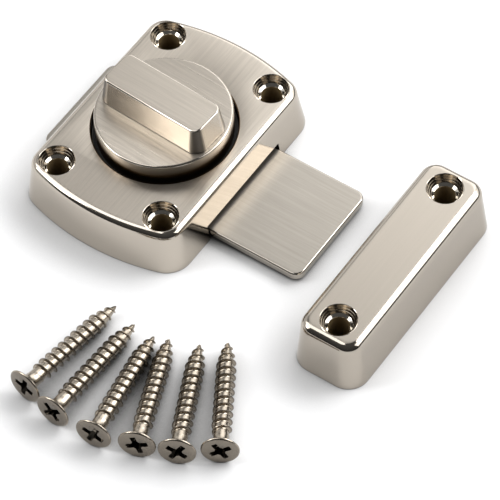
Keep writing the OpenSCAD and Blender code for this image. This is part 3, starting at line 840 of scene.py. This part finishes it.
class LATCH_OT_grip(bpy.types.Operator):
    """Lofts the knob's grip bar up its drafted wall and turns it on the disc"""

    bl_idname = "latch.grip"
    bl_label = "Knob grip"

    def execute(self, context):
        s, finish = context.scene.latch_knob, context.scene.latch_finish
        low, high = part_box("knob_grip")
        foot = 0.2 * MM
        points, faces = loft(lambda inset: rounded_outline(s.grip_w, s.grip_l, s.grip_corner, inset),
                             drafted_profile(high.z - low.z, s.grip_draft, s.grip_edge, foot), low.z)
        turn = np.array(Matrix.Rotation(s.grip_turn, 3, "Z"))
        piece = add_mesh("knob_grip_body", (points @ turn.T, faces))
        # Painted shade in the crease along the grip's foot
        seam = (low.z + foot, low.z + foot + 0.02 * MM, finish.seam)
        nickel = brushed_nickel("Brushed nickel, grip", finish.knob, s.grip_turn, 0.8, bow=0.19,
                                satin_walls=0.22, seam=seam)
        dress(piece, "knob", nickel, "knob_grip")
        return {"FINISHED"}


class LATCH_OT_bolt(bpy.types.Operator):
    """Lofts the bolt plate with soft edges and cuts its long slot and cross slot"""

    bl_idname = "latch.bolt"
    bl_label = "Bolt"

    def execute(self, context):
        s = context.scene.latch_bolt
        low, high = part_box("bolt")
        size, centre = high - low, (low + high) / 2
        run_r = span("crank_screw").x / 2 + s.screw_play
        pin = middle("drive_pin")
        slot_r = span("drive_pin").x / 2 + s.pin_play
        drive = s.travel / math.sqrt(2)
        piece = add_mesh("bolt_body", loft(
            lambda inset: rounded_outline(size.y, size.x, s.corner_r, inset) + np.array([centre.x, centre.y]),
            soft_profile(size.z, s.edge_r), low.z))
        carve(piece, [
            block_solid(s.travel / 2 + run_r, run_r, run_r, -OPEN, high.z + OPEN, (s.travel / 2, 0)),
            block_solid(slot_r, (drive - pin.y) / 2 + slot_r, slot_r, -OPEN, high.z + OPEN,
                        (pin.x, (drive + pin.y) / 2)),
        ])
        nickel = brushed_nickel("Brushed nickel, bolt", context.scene.latch_finish.bolt, 0.0, 0.7)
        dress(piece, "bolt_plate", nickel, "bolt")
        return {"FINISHED"}


def cross_ring(reach, width, core):
    """Outline of the crossed recess: four arms of a width and reach, joined by short diagonals at core.

    One arm is twelve points, the same on both sides of its line, and quarter turns of it make the others.
    """
    h = width / 2
    c = max(core, h * 1.05)
    tip = 0.92 * h
    half = np.array([[reach, tip / 2], [reach, tip], [0.96 * reach, h], [(c + reach) / 2, h], [1.15 * c, h]])
    arm = np.vstack([[[c, -c]], half[::-1] * [1, -1], [[reach, 0]], half])
    ahead = ((1, 0), (0, 1), (-1, 0), (0, -1))
    return np.vstack([arm @ np.array([[x, y], [-y, x]]) for x, y in ahead])


def wood_screw(s, turn):
    """Surface of one wood screw along +X from the middle of its head, as rings of 48 points.

    From the foot of the crossed recess the rings go up its walls, over the flat of the head, round the rim
    and down the flared neck to the shank. From there each ring climbs by one pitch in one turn. Its radius
    goes from core to thread by a tooth shape of the share of the pitch. Both start at the shank and taper to
    the point, the thread from further back and faster at the end.
    """
    n = 48
    t = np.linspace(-math.pi / 4, 7 * math.pi / 4, n, endpoint=False)
    circle = np.stack([np.cos(t), np.sin(t)], axis=1)
    depth = 1.9 * MM
    # The crossed recess from its foot to its mouth, then the flat of the head
    head = [
        (np.zeros((n, 2)), depth * 1.2),
        (cross_ring(0.55 * s.cross, 0.62 * s.cross_w, 0.4 * MM), depth),
        (cross_ring(0.93 * s.cross, 0.94 * s.cross_w, 0.78 * MM), 0.28 * MM),
        (cross_ring(s.cross, s.cross_w, 0.86 * MM), 0.05 * MM),
        (cross_ring(s.cross + 0.06 * MM, s.cross_w + 0.12 * MM, 0.92 * MM), 0.0),
        (circle * (s.cross + 0.55 * MM), 0.0),
    ]
    # Insets from the head's radius and drops below its face, in millimetres, round its edge
    for inset, drop in ((0.55, 0.0), (0.4, 0.015), (0.2, 0.09), (0.06, 0.22), (0.0, 0.4)):
        head.append((circle * (s.head_r - inset * MM), drop * MM))
    head += [(circle * s.head_r, s.rim), (circle * (s.head_r - 0.15 * MM), s.rim + 0.08 * MM)]
    for a in np.linspace(0, math.pi / 2, 12)[1:]:
        flare = s.shank_r + (s.head_r - 0.3 * MM - s.shank_r) * (1 - math.sin(a))
        head.append((circle * flare, s.rim + s.neck * (1 - math.cos(a))))
    start = s.rim + s.neck + s.shank
    head += [(circle * s.shank_r, start - 0.3 * MM), (circle * s.shank_r, start)]
    top = np.stack([np.column_stack([np.full(n, x), ring]) for ring, x in head])

    # Shares of the pitch at which the rings of the thread lie, and the tooth's height over them
    steps = np.array([0, 0.12, 0.24, 0.34, 0.375, 0.405, 0.435, 0.465, 0.535, 0.565, 0.595, 0.625, 0.66,
                      0.83])
    flank = ([0.34, 0.375, 0.435, 0.465, 0.535, 0.565, 0.625, 0.66], [0, 0.08, 0.8, 1, 1, 0.8, 0.08, 0])
    turns = int(math.ceil((s.overall - start) / s.pitch)) + 1
    tooth = np.tile(np.interp(steps, *flank), turns)[:, None]
    climb = (np.arange(turns)[:, None] + steps).reshape(-1, 1) - 1 + np.arange(n) / n
    x = np.clip(start + s.pitch * climb, start, s.overall)
    left = (s.overall - x) / s.point
    run_in = np.clip((x - start) / (0.8 * s.pitch), 0, 1)
    core = (s.core_r + (s.shank_r - s.core_r) * (1 - run_in)) * np.clip(left / 1.7, 0, 1) ** 0.6
    slim = np.minimum(np.clip(left / 1.9, 0, 1) ** 0.5, np.clip(1.5 * left, 0, 1))
    crest = (s.shank_r + (s.thread_r - s.shank_r) * run_in) * slim
    r = core + np.maximum(crest - core, 0) * tooth * (left > 0.03)
    thread = np.stack([x, r * np.cos(t), r * np.sin(t)], axis=-1)

    a_points, a_tris = grid_solid(top)
    b_points, b_tris = grid_solid(thread, len(steps))
    a_tris, b_tris = np.array(a_tris), np.array(b_tris)
    points, tris = weld(np.vstack([a_points, b_points]), np.vstack([a_tris, b_tris + len(a_points)]))
    c, w = math.cos(turn), math.sin(turn)
    roll = np.array([[1, 0, 0], [0, c, -w], [0, w, c]])
    return points @ roll.T, tris


def screw_shade(s, points):
    """How dark each point of a wood screw is painted, from none to one.

    The crossed recess is painted wholly black as shade, and the face of the head is partly darker. Along the
    thread, painted shade grows with the cube of its height over the core, and fades towards the point.
    """
    x, away = points[:, 0], np.hypot(points[:, 1], points[:, 2])
    recess = (x > 0.04 * MM) & (away < s.cross + 0.05 * MM - 0.7 * x)
    face = 0.42 * (x < 0.12 * MM)
    crest = (away - s.core_r) / (s.thread_r - s.core_r) * (x > s.rim + s.neck + s.shank)
    fade = np.clip((s.overall - x) / (1.6 * s.point), 0.2, 1)
    return np.where(recess, 1.0, np.maximum(face, 0.68 * fade * np.clip(crest, 0, 1) ** 3))


class LATCH_OT_wood_screws(bpy.types.Operator):
    """Threads the six loose wood screws and lays them where their nodes lie, on rim and thread"""

    bl_idname = "latch.wood_screws"
    bl_label = "Wood screws"

    # X and Y of each head's middle in millimetres, then the way the screw points and its roll in degrees
    PLACES = (
        (13.2, -74.0, 84.0, 10.0), (22.5, -75.99, 89.0, 50.0), (33.8, -75.8, 99.5, 25.0),
        (43.6, -72.69, 112.0, 70.0), (52.19, -69.29, 115.7, 35.0), (60.1, -63.79, 121.7, 60.0),
    )

    def execute(self, context):
        s, finish = context.scene.latch_screws, context.scene.latch_finish
        plating = plain_metal("Plated wood screw", finish.screws, 0.24, 0.9 * MM, 0.08, deep=True)
        tilt = math.atan((s.head_r - s.thread_r) / (s.overall - s.point - s.rim))
        height = s.rim * math.sin(tilt) + s.head_r * math.cos(tilt)
        for number, (x, y, angle, turn) in enumerate(self.PLACES, start=1):
            points, tris = wood_screw(s, math.radians(turn))
            # How much painted shade each point of the screw gets
            deep = screw_shade(s, points).astype(np.float32)
            lie = Matrix.Rotation(math.radians(angle), 3, "Z") @ Matrix.Rotation(tilt, 3, "Y")
            points = points @ np.array(lie).T + np.array([x * MM, y * MM, height])
            piece = add_mesh("wood_screw_{}_body".format(number), (points, tris))
            piece.data.attributes.new("deep", "FLOAT", "POINT").data.foreach_set("value", deep)
            dress(piece, "latch", plating, "wood_screw_{}".format(number), 38.0)
        return {"FINISHED"}


class LATCH_OT_works(bpy.types.Operator):
    """Gives the plate, bush, crank, spring and small screws behind the case their own metals"""

    bl_idname = "latch.works"
    bl_label = "Works"

    def execute(self, context):
        zinc = plain_metal("Zinc plate", (0.52, 0.53, 0.54), 0.34, 1.2 * MM, 0.08)
        steel = plain_metal("Stamped steel", (0.42, 0.42, 0.42), 0.3, 0.8 * MM)
        spring = plain_metal("Spring steel", (0.34, 0.35, 0.38), 0.24, 0.6 * MM)
        brass = plain_metal("Turned brass", (0.72, 0.52, 0.24), 0.26, 0.5 * MM)
        small = plain_metal("Plated small screw", (0.46, 0.44, 0.4), 0.28, 0.4 * MM)
        fibre = plain_metal("Black fibre", (0.018, 0.016, 0.014), 0.6, 0.3 * MM, metallic=0.0)
        metals = {
            "back_plate": zinc, "detent_posts": zinc, "back_plate_screws": small, "grip_screws": small,
            "crank_screw": small, "spindle_bush": brass, "friction_washer": fibre, "detent_spring": spring,
            "crank_washer": spring, "spindle": steel, "crank": steel, "drive_pin": steel,
        }
        for node, metal in metals.items():
            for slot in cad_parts[node].material_slots:
                slot.material = metal
        return {"FINISHED"}


class LATCH_OT_stage(bpy.types.Operator):
    """Lays the pale floor and sets the soft light and the camera"""

    bl_idname = "latch.stage"
    bl_label = "Stage"

    # Middle of the scene, and the way from it to each lamp, the lamp's distance, width and height in metres
    MIDDLE = Vector((0.03, -0.01, 0.0))
    LAMPS = {
        "Key": ((0.35, 0.56, 0.75), 1.0, 0.4, 0.4),
        "Panel": ((0.7, 0.4, 0.6), 1.0, 0.74, 0.64),
        "Strip": ((-0.5, -0.19, 0.85), 0.9, 0.5, 0.84),
        "Fill": ((-0.64, -0.48, 0.6), 0.6, 0.2, 0.22),
        "Rear": ((-0.21, 0.79, 0.59), 0.42, 0.28, 0.35),
    }

    def execute(self, context):
        scene, s = context.scene, context.scene.latch_stage
        self.lay_floor(s)
        self.light_world(scene, s)
        for name, (way, distance, width, height) in self.LAMPS.items():
            self.hang_lamp(name, Vector(way), distance, width, height, getattr(s, name.lower()))
        self.set_camera(scene, s)
        scene.view_settings.view_transform = "Standard"
        return {"FINISHED"}

    def lay_floor(self, s):
        """Square floor that is darker close to the pieces.

        Two shades lie on the side away from the main lamp, a near one and a wide one that only the camera
        sees, and one lies in corners. The camera sees the floor lighter, except under the screw holes, where
        the floor is painted nearly black as shade.
        """
        half = 3.0
        square = np.array([[-half, -half, 0], [half, -half, 0], [half, half, 0], [-half, half, 0]])
        floor = add_mesh("floor", (square, [[0, 1, 2, 3]]))
        material = bpy.data.materials.new("Pale floor")
        material.use_nodes = True
        tree = material.node_tree
        tree.nodes.clear()
        place = object_place(tree)
        settings = bpy.context.scene
        case, keeper = settings.latch_case, settings.latch_keeper
        reach, any_height = 2 * settings.latch_holes.plain_r, 1.0
        # Painted shade: the floor under the screw holes is nearly black
        under_case = in_holes(tree, place, (0, 0), (case.hole_dx / 2, case.hole_dy / 2), reach, any_height)
        under_keeper = in_holes(tree, place, middle("keeper"), (0, keeper.hole_dy / 2), reach, any_height)
        hole_shade = math_node(tree, "MAXIMUM", under_case, under_keeper)
        seen = add_node(tree, "LightPath").outputs["Is Camera Ray"]
        to_lamp = add_node(tree, "CombineXYZ", X=0.4, Y=0.55, Z=0.733).outputs[0]
        near = self.openness(tree, 4 * MM, Normal=to_lamp)
        wide = self.openness(tree, 18 * MM, Normal=to_lamp)
        corner = self.openness(tree, 12 * MM)
        clear = times(tree, smooth(tree, near, 0.02, 0.5), smooth(tree, corner, 0.2, 0.58),
                      math_node(tree, "POWER", mix(tree, wide, 0.3, 1.0), seen))
        glow = times(tree, seen, less(tree, 1.0, hole_shade), s.lift, clear)
        tone = blend(tree, hole_shade, blend(tree, clear, s.shade, s.ground), s.under)
        matt = add_node(tree, "BsdfDiffuse", Color=tone)
        light = add_node(tree, "Emission", Color=(1, 1, 1, 1), Strength=glow)
        both = add_node(tree, "AddShader", n0=matt.outputs[0], n1=light.outputs[0])
        add_node(tree, "OutputMaterial", Surface=both.outputs[0])
        floor.data.materials.append(material)

    def openness(self, tree, distance, **normal):
        """Share of the half sky about the normal that no piece nearer than the distance covers."""
        shade = add_node(tree, "AmbientOcclusion", {"samples": 12}, Distance=distance, **normal)
        return shade.outputs["AO"]

    def light_world(self, scene, s):
        """Soft room, and plain white to the camera.

        It is dark low down and a little lighter overhead. The wall behind is pale from some way up and
        brighter to the sides, and the far left is bright.
        """
        world = bpy.data.worlds.new("Soft room")
        scene.world = world
        world.use_nodes = True
        tree = world.node_tree
        tree.nodes.clear()
        way = axes(tree, add_node(tree, "TexCoord").outputs["Generated"])
        rear = ramp(tree, way["Y"], 0.36, 0.62)
        high = smooth(tree, way["Z"], 0.1, 0.45)
        side = math_node(tree, "ABSOLUTE", plus(tree, way["X"], 0.45))
        wall = times(tree, rear, high, plus(tree, times(tree, side, 5.0), 1.5), s.back)
        base = mix(tree, way["Z"], 0.03, 0.1)
        left = ramp(tree, way["X"], -0.6, -0.85, 0.0, 0.7)
        seen = add_node(tree, "LightPath").outputs["Is Camera Ray"]
        strength = times(tree, plus(tree, wall, base, left), s.sky)
        room = add_node(tree, "Background", Color=(1, 1, 1, 1), Strength=strength)
        white = add_node(tree, "Background", Color=(1, 1, 1, 1), Strength=1.0)
        both = add_node(tree, "MixShader", Fac=seen, n1=room.outputs[0], n2=white.outputs[0])
        add_node(tree, "OutputWorld", Surface=both.outputs[0])

    def hang_lamp(self, name, way, distance, width, height, power):
        """Flat lamp that far from the middle of the scene, facing it."""
        data = bpy.data.lights.new(name, "AREA")
        data.shape = "RECTANGLE"
        data.size, data.size_y, data.energy = width, height, power
        lamp = bpy.data.objects.new(name, data)
        lamp.location = self.MIDDLE + way.normalized() * distance
        lamp.rotation_euler = way.to_track_quat("Z", "Y").to_euler()
        bpy.context.scene.collection.objects.link(lamp)

    def set_camera(self, scene, s):
        """Camera at its distance back from the target, upright to the view, then rolled about it."""
        out = math.cos(s.elevation)
        back = Vector((math.sin(s.azimuth) * out, -math.cos(s.azimuth) * out, math.sin(s.elevation)))
        right = Vector((math.cos(s.azimuth), math.sin(s.azimuth), 0))
        up = back.cross(right)
        side = right * math.cos(s.roll) + up * math.sin(s.roll)
        top = up * math.cos(s.roll) - right * math.sin(s.roll)
        data = bpy.data.cameras.new("Camera")
        data.sensor_width, data.lens = 36.0, s.focal
        data.clip_start, data.clip_end = 0.05, 20.0
        camera = bpy.data.objects.new("Camera", data)
        place = Vector((s.target_x, s.target_y, 0)) + back * s.distance
        camera.matrix_world = Matrix.Translation(place) @ Matrix((side, top, back)).transposed().to_4x4()
        scene.collection.objects.link(camera)
        scene.camera = camera


OPERATORS = (LATCH_OT_case, LATCH_OT_keeper, LATCH_OT_disc, LATCH_OT_grip, LATCH_OT_bolt,
             LATCH_OT_wood_screws, LATCH_OT_works, LATCH_OT_stage)


class LATCH_PT_panel(bpy.types.Panel):
    """Sidebar panel with the latch's pieces and sizes"""

    bl_idname = "LATCH_PT_panel"
    bl_label = "Latch"
    bl_space_type = "VIEW_3D"
    bl_region_type = "UI"
    bl_category = "Latch"

    def draw(self, context):
        column = self.layout.column(align=True)
        for operator in OPERATORS:
            column.operator(operator.bl_idname)
        for name in SETTINGS:
            group = getattr(context.scene, name)
            box = self.layout.box()
            box.label(text=type(group).__name__)
            for key in group.__annotations__:
                box.prop(group, key)


def register():
    """Registers the settings, the operators and the panel."""
    for name, group in SETTINGS.items():
        bpy.utils.register_class(group)
        setattr(bpy.types.Scene, name, PointerProperty(type=group))
    for cls in OPERATORS + (LATCH_PT_panel,):
        bpy.utils.register_class(cls)


def unregister():
    """Takes the panel, the operators and the settings away again."""
    for cls in (LATCH_PT_panel,) + OPERATORS[::-1]:
        bpy.utils.unregister_class(cls)
    for name, group in SETTINGS.items():
        delattr(bpy.types.Scene, name)
        bpy.utils.unregister_class(group)


def main():
    register()
    bpy.ops.latch.case()
    bpy.ops.latch.keeper()
    bpy.ops.latch.disc()
    bpy.ops.latch.grip()
    bpy.ops.latch.bolt()
    bpy.ops.latch.wood_screws()
    bpy.ops.latch.works()
    bpy.ops.latch.stage()


if __name__ == "__main__":
    main()
